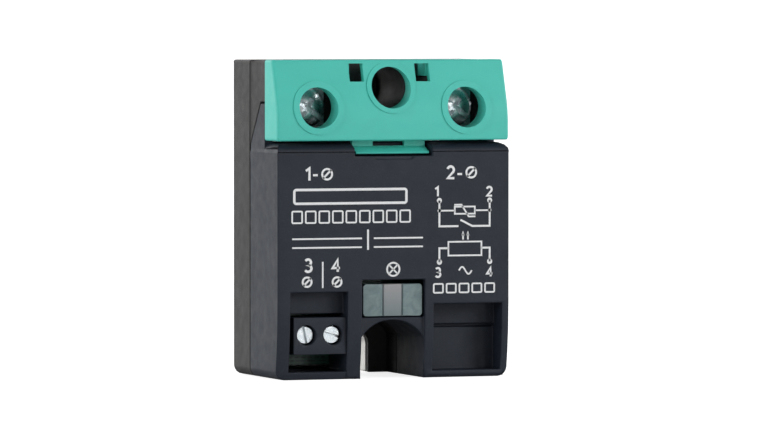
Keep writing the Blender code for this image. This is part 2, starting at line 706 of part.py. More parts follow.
def build():
    plate_metal = material("plate_metal", (0.62, 0.60, 0.56), 0.35, 1.0)
    dark_grey = material("dark_grey_plastic", (0.085, 0.085, 0.085), 0.6)
    blue_black = material("blue_black_plastic", (0.028, 0.033, 0.042), 0.55)
    green = material("green_plastic", (0.09, 0.48, 0.38), 0.5)
    clear = material("light_pipe_plastic", (0.24, 0.30, 0.29), 0.25)
    zinc = material("zinc_plated_steel", (0.60, 0.64, 0.66), 0.3, 1.0)
    tinned = material("tinned_copper", (0.72, 0.71, 0.68), 0.3, 1.0)
    ceramic = material("white_ceramic", (0.82, 0.82, 0.80), 0.5)
    silicon = material("chip_silicon", (0.10, 0.11, 0.13), 0.25, 0.6)
    laminate = material("board_laminate", (0.02, 0.16, 0.08), 0.45)
    black = material("moulded_black", (0.02, 0.02, 0.02), 0.5)
    yellow = material("varistor_coating", (0.05, 0.14, 0.42), 0.4)
    film = material("capacitor_case", (0.62, 0.53, 0.18), 0.45)
    tan = material("resistor_body", (0.55, 0.42, 0.27), 0.5)
    lamp = material("led_body", (0.55, 0.60, 0.52), 0.3)

    base_plate(plate_metal)
    rear_housing(dark_grey)
    busbars(tinned)
    terminal_nuts(zinc)
    clamp_washers(zinc)
    power_screws(zinc)
    hinge_pins(zinc)
    terminal_cover(green)
    front_cover(blue_black)
    light_pipe(clear)
    control_terminal(blue_black)
    control_screws(zinc)
    clamp_cages(zinc)
    contact_bars(tinned)
    power_chips(ceramic, silicon)
    gate_pins(tinned)
    board(laminate)
    board_components(black, yellow, film, tan, lamp)


clear_scene()
PARTS = new_collection("solid_state_relay")
CUTTERS = new_collection("cutters")
build()
bpy.context.view_layer.update()
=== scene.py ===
"""Looks of the solid state relay: fine meshes, materials, light and camera on the CAD frame."""

import math

import bmesh
import bpy
from mathutils import Matrix, Vector
from mathutils.bvhtree import BVHTree


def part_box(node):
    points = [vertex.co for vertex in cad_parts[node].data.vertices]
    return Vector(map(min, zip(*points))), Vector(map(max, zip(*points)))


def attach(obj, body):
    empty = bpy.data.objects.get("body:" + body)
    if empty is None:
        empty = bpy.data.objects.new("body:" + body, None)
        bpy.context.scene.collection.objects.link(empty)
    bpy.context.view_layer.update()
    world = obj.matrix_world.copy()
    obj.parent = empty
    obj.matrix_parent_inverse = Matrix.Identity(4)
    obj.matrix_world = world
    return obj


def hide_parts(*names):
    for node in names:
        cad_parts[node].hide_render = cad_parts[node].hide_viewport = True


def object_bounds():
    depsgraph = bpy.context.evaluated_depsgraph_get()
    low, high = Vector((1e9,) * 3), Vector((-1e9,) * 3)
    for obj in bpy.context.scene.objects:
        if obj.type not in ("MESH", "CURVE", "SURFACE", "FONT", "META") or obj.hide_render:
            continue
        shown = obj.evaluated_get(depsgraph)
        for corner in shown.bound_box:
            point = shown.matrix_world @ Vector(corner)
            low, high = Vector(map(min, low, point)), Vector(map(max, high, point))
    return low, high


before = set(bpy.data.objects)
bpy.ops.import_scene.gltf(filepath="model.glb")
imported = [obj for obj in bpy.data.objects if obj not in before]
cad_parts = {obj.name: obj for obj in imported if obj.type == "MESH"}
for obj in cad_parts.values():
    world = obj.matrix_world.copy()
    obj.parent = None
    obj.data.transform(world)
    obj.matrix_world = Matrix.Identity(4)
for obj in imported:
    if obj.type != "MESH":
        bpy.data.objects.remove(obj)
cad_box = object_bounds()

MM = 0.001
LOW, HIGH = cad_box
CENTRE = (LOW + HIGH) / 2

# Camera, as a photographer would set it: a long lens, a little to the left and above
VIEW_TURN = math.radians(19.99)
VIEW_DROP = math.radians(1.91)
VIEW_DISTANCE = 1.2
VIEW_LENS = 309.7
VIEW_RIGHT = 1.74 * MM
VIEW_UP = 0.56 * MM

# Light: how bright the room is by direction, and how much the floor glows for the camera
SKY_FRONT = 0.42
SKY_BEHIND = 2.0
SKY_ABOVE = 0.35
FLOOR_GLOW = 0.8
FLOOR_RADII = (0.3, 1.0, 4.0, 20.0, 200.0)

# Lamps: name, place and size in metres, power in watts
LAMPS = (
    ("key", (0.78, -0.72, 0.42), (0.4, 0.5), 6.0),
    ("card", (0.42, -0.95, 0.06), (0.16, 0.16), 0.6),
    ("left_fill", (-0.98, -0.22, 0.2), (0.5, 0.5), 4.0),
)

# All sizes from here on are millimetres; depths are measured forwards from the base plate's back
DEPTH = (HIGH.y - LOW.y) / MM
BEYOND = 30

# Rounded meshes: welding distance, shortest edge that is rounded, how far (in radii) a rounded
# corner may move, and a level just under the roll along the front cover's top edge
WELD = 0.02
SHORTEST_EDGE = 0.3
STRAY = 0.75
ROLL_END = 41.15

# Print: its back and front, and its two line widths
INK_BACK = DEPTH - 0.05
INK_FRONT = DEPTH + 0.02
LINE = 0.30
BOLD = 0.46
NUMBER_SIZE = 2.25
SMALL_NUMBER_SIZE = 1.7

# Terminal cover: its walls, the bend in its front face and the leaning part above the bend
COVER_REAR = 18.1
COVER_WALL = 1.5
COVER_EDGE = 0.45
COVER_LOW = 43.3
BEND_HEIGHT = 48.6
BEND_HALF = 2.3
LEAN_TOP = 21.75

# Its holes (x, height, hole radius, ring radius), the rings' rise and the sleeves' back
TERMINAL_X = 14.3
TERMINAL_HEIGHT = 49.3
FIXING_HEIGHT = 52.9
TERMINAL_HOLE = (3.72, 4.85)
COVER_HOLES = (
    (-TERMINAL_X, TERMINAL_HEIGHT, *TERMINAL_HOLE),
    (0, FIXING_HEIGHT, 3.8, 4.65),
    (TERMINAL_X, TERMINAL_HEIGHT, *TERMINAL_HOLE),
)
RING_RISE = 0.2
SLEEVE_BACK = 21.2

# Its windows beside the middle hole, and the ears that turn on the hinge pins
WINDOW_X = 6.4
WINDOW_HALF = 1.4
WINDOW_HEIGHTS = (54.0, 57.3)
HINGE = (15.7, 56.4)
EAR_RADIUS = 1.4
EAR_SIDES = (7.35, 9.05)
PIN_HOLE_RADIUS = 1.0

# Its latch: a strip with a slot, ending in a lip; the lip's points are (depth ahead of the
# latch's back, height)
LATCH_BACK = 21.3
LATCH_HALF = 7.05
LATCH_WALL = 0.8
LATCH_LOW = 41.4
LATCH_LIP = ((LATCH_WALL, 42.25), (1.15, 42.05), (2.95, 41.32), (3.1, 41.15), (3.05, 40.98),
             (2.85, 40.87))
LATCH_SLOT = ((-3.05, 3.05), (20, 22.9), (42.3, 43.15))

# Screws and lens; angles are in degrees
SCREW_SIDES = 48
POWER_PITCH = 0.7
POWER_SLOT_TURN = 35
CONTROL_PITCH = 0.5
CONTROL_SLOT_TURNS = {1: 78, 2: 15}
LENS_CORNER = 0.7
LENS_GROOVE = 1.85


# ---------------------------------------------------------------- objects and meshes

def at(x, depth, height):
    return Vector((x * MM, HIGH.y - depth * MM, height * MM))


def sizes_of(node):
    """A CAD node's (x, depth, height) low and high values in millimetres."""
    low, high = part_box(node)
    return ((low.x / MM, high.x / MM), ((HIGH.y - high.y) / MM, (HIGH.y - low.y) / MM),
            (low.z / MM, high.z / MM))


def link(name, data):
    piece = bpy.data.objects.new(name, data)
    bpy.context.scene.collection.objects.link(piece)
    return piece


def piece_from(name, work, material=None):
    """Turns a finished bmesh into an object."""
    bmesh.ops.recalc_face_normals(work, faces=work.faces)
    mesh = bpy.data.meshes.new(name)
    work.to_mesh(mesh)
    work.free()
    piece = link(name, mesh)
    if material:
        mesh.materials.append(material)
    return piece


def smooth_by_angle(piece, degrees):
    """Smooth shading with sharp creases, and flats kept even by their size."""
    for face in piece.data.polygons:
        face.use_smooth = True
    piece.data.set_sharp_from_angle(angle=math.radians(degrees))
    even = piece.modifiers.new("even", "WEIGHTED_NORMAL")
    even.keep_sharp = True
    return baked(piece)


def finish_piece(piece, body, stands_for=()):
    """Puts a piece on its body and hides the CAD nodes that it stands for."""
    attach(piece, body)
    if stands_for:
        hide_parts(*stands_for)
    return piece


def baked(piece):
    """Replaces a piece's mesh by what its modifiers make of it."""
    graph = bpy.context.evaluated_depsgraph_get()
    mesh = bpy.data.meshes.new_from_object(piece.evaluated_get(graph))
    piece.modifiers.clear()
    piece.data = mesh
    return piece


def boolean(piece, tool, operation="DIFFERENCE"):
    step = piece.modifiers.new("solid", "BOOLEAN")
    step.operation = operation
    step.solver = "EXACT"
    step.object = tool
    baked(piece)
    bpy.data.objects.remove(tool)
    return piece


def block(x_range, depth_range, height_range):
    """A tool box for the booleans."""
    work = bmesh.new()
    bmesh.ops.create_cube(work, size=1)
    low = at(x_range[0], depth_range[1], height_range[0])
    high = at(x_range[1], depth_range[0], height_range[1])
    bmesh.ops.transform(work, matrix=Matrix.Diagonal((high - low).to_4d()), verts=work.verts)
    bmesh.ops.translate(work, vec=(low + high) / 2, verts=work.verts)
    return piece_from("tool", work)


def turned_about(tool, x, height, degrees):
    """Turns a tool about the line along the depth at (x, height)."""
    centre = Matrix.Translation(at(x, 0, height))
    turn = Matrix.Rotation(math.radians(degrees), 4, "Y")
    tool.data.transform(centre @ turn @ centre.inverted())
    return tool


def prism(name, outline, depths):
    """A solid with an outline of (x, height) points, between two depths."""
    work = bmesh.new()
    rings = [[work.verts.new(at(x, depth, height)) for x, height in outline] for depth in depths]
    for ring in rings:
        work.faces.new(ring)
    for index in range(len(outline)):
        work.faces.new([rings[0][index - 1], rings[0][index], rings[1][index],
                        rings[1][index - 1]])
    return piece_from(name, work)


def round_box(x_range, height_range, radius, steps=5):
    """Outline of a rectangle with round corners."""
    points = []
    for index, (x, height) in enumerate(((1, 1), (0, 1), (0, 0), (1, 0))):
        centre_x = x_range[x] - radius * (2 * x - 1)
        centre_height = height_range[height] - radius * (2 * height - 1)
        for step in range(steps + 1):
            turn = math.radians(90 * (index + step / steps))
            points.append((centre_x + radius * math.cos(turn),
                           centre_height + radius * math.sin(turn)))
    return points


def bevelled(piece, radius, segments=2, angle=30):
    """Rounds the edges that are sharper than angle and not too short, and returns a tidy mesh.

    A corner that the rounding throws off the solid is put back on its surface.
    """
    work = bmesh.new()
    work.from_mesh(piece.data)
    skin = BVHTree.FromBMesh(work)
    weight = work.edges.layers.float.new("bevel_weight_edge")
    for edge in work.edges:
        if len(edge.link_faces) == 2 and edge.calc_length() > SHORTEST_EDGE * MM:
            edge[weight] = float(edge.calc_face_angle() > math.radians(angle))
    work.to_mesh(piece.data)
    work.free()
    step = piece.modifiers.new("edges", "BEVEL")
    step.width = radius * MM
    step.segments = segments
    step.limit_method = "WEIGHT"
    step.use_clamp_overlap = False
    baked(piece)
    for vertex in piece.data.vertices:
        nearest, _, _, distance = skin.find_nearest(vertex.co)
        if distance > STRAY * radius * MM:
            vertex.co = nearest
    return piece


def refined(node, radius, material, segments=2, name=None, body="housing", cut_at=None):
    """Stands a copy of a CAD node with joined-up flats and rounded edges in the node's place.

    The flats are cut at the height cut_at, so that the shading of a roll above ends there.
    """
    work = bmesh.new()
    work.from_mesh(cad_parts[node].data)
    bmesh.ops.remove_doubles(work, verts=work.verts, dist=WELD * MM)
    bmesh.ops.dissolve_limit(work, angle_limit=math.radians(0.3), verts=work.verts,
                             edges=work.edges)
    if cut_at:
        bmesh.ops.bisect_plane(work, geom=work.verts[:] + work.edges[:] + work.faces[:],
                               plane_co=(0, 0, cut_at * MM), plane_no=(0, 0, 1))
    bmesh.ops.triangulate(work, faces=[face for face in work.faces if len(face.verts) > 4])
    piece = piece_from(name or node + "_fine", work)
    bevelled(piece, radius, segments)
    low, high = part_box(node)
    for vertex in piece.data.vertices:
        vertex.co = [min(max(value, a), b) for value, a, b in zip(vertex.co, low, high)]
    smooth_by_angle(piece, 40)
    piece.data.materials.clear()
    piece.data.materials.append(material)
    return finish_piece(piece, body, stands_for=[node])


# ---------------------------------------------------------------- screws and lens

def screw_solid(name, profile, x, height, thread):
    """A turned solid along the depth; thread is (pitch, depth of cut, from, to) on the shank."""
    pitch, cut, thread_back, thread_front = thread
    work = bmesh.new()
    rings = []
    for radius, depth in profile:
        if radius == 0:
            rings.append([work.verts.new(at(x, depth, height))])
            continue
        ring_points = []
        for side in range(SCREW_SIDES):
            turn = 2 * math.pi * side / SCREW_SIDES
            reach = radius
            if thread_back < depth < thread_front:
                phase = (depth / pitch + side / SCREW_SIDES) % 1
                reach -= cut * abs(2 * phase - 1)
            ring_points.append(work.verts.new(at(x + reach * math.cos(turn), depth,
                                                 height + reach * math.sin(turn))))
        rings.append(ring_points)
    for first, second in zip(rings, rings[1:]):
        for side in range(SCREW_SIDES):
            corners = [first[side % len(first)], first[(side + 1) % len(first)],
                       second[(side + 1) % len(second)], second[side % len(second)]]
            work.faces.new(list(dict.fromkeys(corners)))
    return piece_from(name, work)


def thread_rows(radius, low, high, pitch, per_turn=6):
    """Profile rows along a shank, close enough to carry a thread."""
    count = math.ceil((high - low) / pitch * per_turn)
    return [(radius, high + (low - high) * index / count) for index in range(count + 1)]


def screw_sizes(node):
    """A CAD screw's middle x and height, the radius of its head, and its tip and crown depths."""
    x_range, depths, heights = sizes_of(node)
    return sum(x_range) / 2, sum(heights) / 2, (x_range[1] - x_range[0]) / 2, *depths


def threaded_screw(node, head_rows, shank, bare, pitch, cut):
    """A screw with that profile of its head; bare is the length without thread at both ends."""
    x, height, _, tip, _ = screw_sizes(node)
    under_head = head_rows[-1][1]
    profile = head_rows + thread_rows(shank, tip + bare, under_head, pitch)
    profile += [(shank - bare, tip), (0, tip)]
    return screw_solid(node + "_fine", profile, x, height,
                       (pitch, cut, tip + bare, under_head - bare))


def finish_screw(screw, material, body, node):
    smooth_by_angle(screw, 30)
    screw.data.materials.append(material)
    return finish_piece(screw, body, [node])


def power_screw(side, material):
    """Combination-head screw: a domed head with a slot and a cross, on a threaded shank."""
    node = side + "_terminal_screw"
    x, height, head, _, crown = screw_sizes(node)
    under_head = crown - 2.1
    dome_drop, dome_inset, dome_steps, rim = 0.95, 0.25, 8, 0.15
    dome = [(0, crown)]
    for step in range(1, dome_steps + 1):
        reach = (head - dome_inset) * step / dome_steps
        dome.append((reach, crown - dome_drop * (reach / head) ** 2.2))
    head_rows = dome + [(head, crown - 1.15), (head, under_head + rim), (head - rim, under_head)]
    screw = threaded_screw(node, head_rows, 2.0, 0.6, POWER_PITCH, 0.3)
    slot_reach, slot_half, slot_depth = 4.5, 0.4, 1.1
    cross_reach, cross_half, cross_depth = 1.9, 0.5, 1.7
    cuts = ((slot_reach, slot_half, slot_depth), (cross_reach, cross_half, cross_depth),
            (cross_half, cross_reach, cross_depth))
    for across, up, depth in cuts:
        tool = block((x - across, x + across), (crown - depth, crown + 1),
                     (height - up, height + up))
        boolean(screw, turned_about(tool, x, height, POWER_SLOT_TURN))
    return finish_screw(screw, material, side + "_screw", node)


def control_screw(index, material):
    """Slotted screw of a control terminal."""
    node = "control_screw_a%d" % index
    x, height, head, _, crown = screw_sizes(node)
    under_head = crown - 1.3
    head_rows = [(0, crown), (head - 0.12, crown), (head - 0.04, crown - 0.05),
                 (head, crown - 0.14), (head, under_head + 0.1), (head - 0.1, under_head)]
    screw = threaded_screw(node, head_rows, 1.15, 0.3, CONTROL_PITCH, 0.2)
    slot_reach, slot_half, slot_depth = 2, 0.24, 0.75
    slot = block((x - slot_reach, x + slot_reach), (crown - slot_depth, crown + 1),
                 (height - slot_half, height + slot_half))
    boolean(screw, turned_about(slot, x, height, CONTROL_SLOT_TURNS[index]))
    return finish_screw(screw, material, "control_screw_%d" % index, node)


def light_pipe(material):
    """Lens with three cells and round corners, on its stem."""
    lens_depth, groove_half, groove_depth = 2.4, 0.1, 0.25
    stem_half, stem_corner, below, above = 3.4, 0.4, 1.05, 1.0
    x_range, (back, front), (low, high) = sizes_of("light_pipe")
    lens = prism("light_pipe_fine", round_box(x_range, (low, high), LENS_CORNER),
                 (front - lens_depth, front))
    stem = prism("tool", round_box((-stem_half, stem_half), (low + below, high - above),
                                   stem_corner), (back, front - 2))
    boolean(lens, stem, "UNION")
    for x in (-LENS_GROOVE, LENS_GROOVE):
        boolean(lens, block((x - groove_half, x + groove_half),
                            (front - groove_depth, front + 1), (low - 1, high + 1)))
    bevelled(lens, 0.16, 3, 50)
    smooth_by_angle(lens, 40)
    lens.data.materials.append(material)
    return finish_piece(lens, "housing", ["light_pipe"])


# ---------------------------------------------------------------- terminal cover

def lofted(name, sections):
    """A solid through sections (x, outline), with outlines of (depth, height) points."""
    work = bmesh.new()
    rings = [[work.verts.new(at(x, depth, height)) for depth, height in outline]
             for x, outline in sections]
    work.faces.new(rings[0])
    work.faces.new(rings[-1])
    for first, second in zip(rings, rings[1:]):
        for index in range(len(first)):
            work.faces.new([first[index - 1], first[index], second[index], second[index - 1]])
    return piece_from(name, work)


def side_prism(outline, x_range):
    """A tool with an outline of (depth, height) points, between two values of x."""
    return lofted("tool", [(x, outline) for x in x_range])


def rod(x, height, radius, depths, sides=64):
    """A round tool along the depth."""
    return prism("tool", arc(x, height, radius, radius, 0, 360 * (sides - 1) / sides, sides - 1),
                 depths)


def quarter_turns(steps=5):
    return [math.radians(90 / steps * step) for step in range(steps + 1)]


def cover_face(height, low, high, front):
    """Depth of the cover's front face: upright, then bending back to a straight lean."""
    lean = (front - LEAN_TOP) / (high - BEND_HEIGHT)
    into_bend = height - BEND_HEIGHT + BEND_HALF
    if into_bend <= 0:
        return front
    if into_bend < 2 * BEND_HALF:
        return front - lean * into_bend ** 2 / (4 * BEND_HALF)
    return front - lean * (height - BEND_HEIGHT)


def cover_outline(rear, rise, low, high, span, edge=0.0):
    """Side outline of a wall behind the front face moved forwards by rise; edge rounds its ends."""
    steps = 20
    bend = [BEND_HEIGHT + BEND_HALF * (2 * step / steps - 1) for step in range(steps + 1)]
    ends = [1 - math.cos(turn) for turn in quarter_turns()] if edge else [0]

    def rounded(end, way, shares):
        """Points where the face turns into the end wall, a share of the edge away from it."""
        return [(cover_face(end + way * edge * share, *span) + rise
                 - edge * (1 - math.sin(math.acos(1 - share))), end + way * edge * share)
                for share in shares]

    face = [(cover_face(height, *span) + rise, height) for height in bend]
    return ([(rear, low)] + rounded(low, 1, ends) + face + rounded(high, -1, reversed(ends))
            + [(rear, high)])


def cover_shell(left, right, span):
    """The cover's front wall and cheeks, with rounded outer edges, open at the back."""
    low, high, _ = span
    sections = []
    for turn in quarter_turns():
        inset = COVER_EDGE * (1 - math.sin(turn))
        outline = cover_outline(COVER_REAR, -inset, low + inset, high - inset, span,
                                COVER_EDGE * 0.8)
        sections.append((left + COVER_EDGE * (1 - math.cos(turn)), outline))
    sections += [(-x, outline) for x, outline in reversed(sections)]
    cover = lofted("cover_moulding", sections)
    inside = cover_outline(COVER_REAR - 1, -COVER_WALL, low - 1, high + 1, span)
    return boolean(cover, side_prism(inside, (left + COVER_WALL, right - COVER_WALL)))


def add_cover_hole(cover, span, x, height, hole, reach):
    """A hole with a raised ring round it, and a sleeve behind it over a terminal."""
    low, high, _ = span
    raised = side_prism(cover_outline(COVER_REAR, RING_RISE, low, high, span), (x - 6, x + 6))
    boolean(raised, rod(x, height, reach, (LEAN_TOP - 1, BEYOND)), "INTERSECT")
    boolean(cover, raised, "UNION")
    if x != 0:
        sleeve = rod(x, height, reach, (SLEEVE_BACK, cover_face(height, *span) - 1))
        boolean(cover, sleeve, "UNION")
    boolean(cover, rod(x, height, hole, (COVER_REAR, BEYOND)))


def add_window_and_ear(cover, span, side):
    """On one side (-1 or 1), the window beside the middle hole and the ear on the hinge pin."""
    middle = side * WINDOW_X
    window = round_box((middle - WINDOW_HALF, middle + WINDOW_HALF), WINDOW_HEIGHTS, 0.15, 3)
    boolean(cover, prism("tool", window, (COVER_REAR, BEYOND)))
    pin_depth, pin_height = HINGE
    reach = cover_face(pin_height, *span) - 1
    ear = [(reach, pin_height - EAR_RADIUS), (reach, pin_height + EAR_RADIUS)]
    ear += arc(pin_depth, pin_height, EAR_RADIUS, EAR_RADIUS, 90, 270)
    boolean(cover, side_prism(ear, sorted(side * x for x in EAR_SIDES)), "UNION")


def add_latch(cover, front):
    face, root = LATCH_BACK + LATCH_WALL, front - 1
    outline = [(LATCH_BACK, COVER_LOW + 2), (root, COVER_LOW + 2), (root, COVER_LOW + 0.1),
               (face, COVER_LOW - 0.1)]
    outline += [(LATCH_BACK + ahead, height) for ahead, height in LATCH_LIP]
    outline.append((LATCH_BACK, LATCH_LOW))
    boolean(cover, side_prism(outline, (-LATCH_HALF, LATCH_HALF)), "UNION")
    boolean(cover, block(*LATCH_SLOT))


def terminal_cover(material):
    """Leaning front wall, two cheeks, raised rings, hinge ears at the top, latch at the bottom."""
    (left, right), (_, front), (_, high) = sizes_of("terminal_cover")
    front -= RING_RISE
    span = (COVER_LOW, high, front)
    cover = cover_shell(left, right, span)
    for hole in COVER_HOLES:
        add_cover_hole(cover, span, *hole)
    for side in (-1, 1):
        add_window_and_ear(cover, span, side)
    boolean(cover, side_prism(arc(*HINGE, PIN_HOLE_RADIUS, PIN_HOLE_RADIUS, 0, 345, 23), (-12, 12)))
    add_latch(cover, front)
    smooth_by_angle(cover, 35)
    cover.data.materials.clear()
    cover.data.materials.append(material)
    return finish_piece(cover, "terminal_lid", ["terminal_cover"])


# ---------------------------------------------------------------- print on the front cover

def ribbon(work, points, width, closed=False):
    """Adds a raised line of that width along points (x, height), with mitred corners."""
    spots = [Vector(point) for point in points]
    count = len(spots)
    rings = []
    for index, spot in enumerate(spots):
        ways = []
        if closed or index:
            ways.append((spot - spots[index - 1]).normalized())
        if closed or index < count - 1:
            ways.append((spots[(index + 1) % count] - spot).normalized())
        along = (ways[0] + ways[-1]).normalized()
        across = Vector((-along.y, along.x))
        reach = width / 2 / max(0.55, across.dot(Vector((-ways[0].y, ways[0].x))))
        corners = ((1, INK_FRONT), (-1, INK_FRONT), (-1, INK_BACK), (1, INK_BACK))
        rings.append([work.verts.new(at(spot.x + across.x * reach * side, depth,
                                        spot.y + across.y * reach * side))
                      for side, depth in corners])
    pairs = list(zip(rings, rings[1:]))
    if closed:
        pairs.append((rings[-1], rings[0]))
    else:
        work.faces.new(rings[0])
        work.faces.new(rings[-1])
    for first, second in pairs:
        for side in range(4):
            work.faces.new([first[side - 1], first[side], second[side], second[side - 1]])


def arc(x, height, radius_x, radius_height, start, end, steps=12):
    """Points on part of an ellipse; angles are in degrees."""
    turns = [math.radians(start + (end - start) * step / steps) for step in range(steps + 1)]
    return [(x + radius_x * math.cos(turn), height + radius_height * math.sin(turn))
            for turn in turns]


def circle(x, height, radius):
    return arc(x, height, radius, radius, 0, 345, 23)


def ring(work, x, height, radius, width):
    ribbon(work, circle(x, height, radius), width, closed=True)


def dot(work, x, height, radius):
    ribbon(work, circle(x, height, radius / 2), radius, closed=True)


# Each figure as a line in a square of size 1
DIGITS = {
    1: [(0.06, 0.76), (0.36, 0.98), (0.36, 0.0)],
    2: arc(0.31, 0.70, 0.27, 0.28, 165, -38) + [(0.05, 0.03), (0.62, 0.03)],
    3: (arc(0.30, 0.745, 0.24, 0.235, 150, -75) + [(0.24, 0.52)]
        + arc(0.30, 0.27, 0.28, 0.26, 75, -150)),
    4: [(0.47, 0.0), (0.47, 0.98), (0.04, 0.30), (0.66, 0.30)],
}


def digit(work, number, x, height, size, width):
    """A figure drawn as a line; x and height are its lower left corner."""
    ribbon(work, [(x + a * size, height + b * size) for a, b in DIGITS[number]], width)


def slanting(work, x, height, across, up, width):
    """A stroke from one corner to the other of a box round (x, height)."""
    ribbon(work, [(x - across, height - up), (x + across, height + up)], width)


def terminal_sign(work, x, height, radius):
    """The usual sign of a screw terminal: a ring with a slanting stroke."""
    width = BOLD * 0.8
    ring(work, x, height, radius, width)
    reach = radius * 1.25 * 0.7
    slanting(work, x, height, reach, reach, width)


def field(work, x_range, height_range, corner, width):
    """The outline of a field with round corners."""
    ribbon(work, round_box(x_range, height_range, corner), width, closed=True)


def fields(work, count, left, pitch, width, height_range):
    """A row of small fields."""
    for index in range(count):
        start = left + pitch * index
        field(work, (start, start + width), height_range, 0.2, LINE)


def level(work, left, right, height, width=LINE):
    ribbon(work, [(left, height), (right, height)], width)


def upright(work, x, low, high, width=LINE):
    ribbon(work, [(x, low), (x, high)], width)


def printed(name, draw, ink):
    """One print of the front cover, drawn by a function into a new mesh."""
    work = bmesh.new()
    draw(work)
    return finish_piece(piece_from(name, work, ink), "housing")


def draw_power_marks(work):
    """Number, dash and terminal sign under each power terminal."""
    marks = ((1, -17.1, 36.2, -15.6, 37.15, -12.9, 37.3),
             (2, 10.3, 36.3, 12.3, 37.1, 15.0, 37.4))
    for number, x, foot, dash, dash_height, sign, sign_height in marks:
        digit(work, number, x, foot, NUMBER_SIZE, BOLD)
        level(work, dash, dash + 0.9, dash_height, BOLD * 0.85)
        terminal_sign(work, sign, sign_height, 0.95)


def draw_control_marks(work):
    """Number and terminal sign over each control terminal, with a rule between them."""
    marks = ((3, -17.25, 19.65, -16.75, 17.8), (4, -11.95, 19.6, -11.0, 17.75))
    for number, x, foot, sign, sign_height in marks:
        digit(work, number, x, foot, NUMBER_SIZE + 0.05, BOLD)
        terminal_sign(work, sign, sign_height, 0.85)
    upright(work, -13.75, 16.7, 21.45)


def draw_lamp_mark(work):
    """The usual sign of a lamp: a ring with a cross."""
    x, height, radius = -0.15, 19.9, 1.2
    ring(work, x, height, radius, LINE * 1.1)
    reach = radius * 0.707
    slanting(work, x, height, reach, reach, LINE)
    slanting(work, x, height, reach, -reach, LINE)


def draw_write_on_fields(work):
    """Plain fields and rules to be filled in by hand."""
    left = -19.6
    field(work, (-19.2, 2.4), (32.0, 34.5), 0.4, BOLD)
    fields(work, 9, left, 2.6, 1.9, (28.5, 30.6))
    for height in (25.6, 24.0):
        level(work, left, -6.2, height)
        level(work, -3.9, 5.6, height)
    upright(work, -5.03, 23.5, 27.2, LINE * 1.2)
    fields(work, 5, 7.7, 2.5, 1.8, (15.5, 17.1))


def draw_wiring(work):
    """Wiring diagram in standard signs: varistor, contact, input and its two terminals."""
    left, right = 8.8, 18.6
    top, bar, contact, lead, foot = 32.3, 30.45, 27.6, 23.6, 21.1
    varistor, varistor_heights = (11.8, 15.7), (29.85, 31.15)
    coil, coil_heights = (10.55, 17.0), (22.25, 24.75)
    thick = LINE * 1.2
    ribbon(work, [(left, top), (left, contact), (12.5, contact)], thick)
    ribbon(work, [(right, top), (right, contact), (15.2, contact), (12.9, 28.75)], thick)
    for x, near_varistor, near_coil in zip((left, right), varistor, coil):
        for height, radius in ((top, 0.48), (bar, 0.34), (foot, 0.5)):
            dot(work, x, height, radius)
        level(work, x, near_varistor, bar)
        ribbon(work, [(x, foot), (x, lead), (near_coil, lead)], thick)
    for (start, end), (low, high) in ((varistor, varistor_heights), (coil, coil_heights)):
        ribbon(work, [(start, low), (start, high), (end, high), (end, low)], LINE, closed=True)
    ribbon(work, [(11.7, 31.5), (13.1, 31.5), (14.5, 29.35), (15.8, 29.35)], LINE)
    for x in (13.4, 14.35):
        upright(work, x, 25.15, 26.2)
        ribbon(work, [(x - 0.13, 26.05), (x, 26.5), (x + 0.13, 26.05)], LINE * 0.9, closed=True)
    steps = 20
    ribbon(work, [(12.6 + 2.5 * step / steps, 19.5 + 0.65 * math.sin(2 * math.pi * step / steps))
                  for step in range(steps + 1)], LINE)
    for number, x, height in ((1, 7.9, 33.1), (2, 18.0, 33.05), (3, 8.0, 18.35), (4, 18.0, 18.35)):
        digit(work, number, x, height, SMALL_NUMBER_SIZE, LINE * 1.3)


# ---------------------------------------------------------------- material nodes

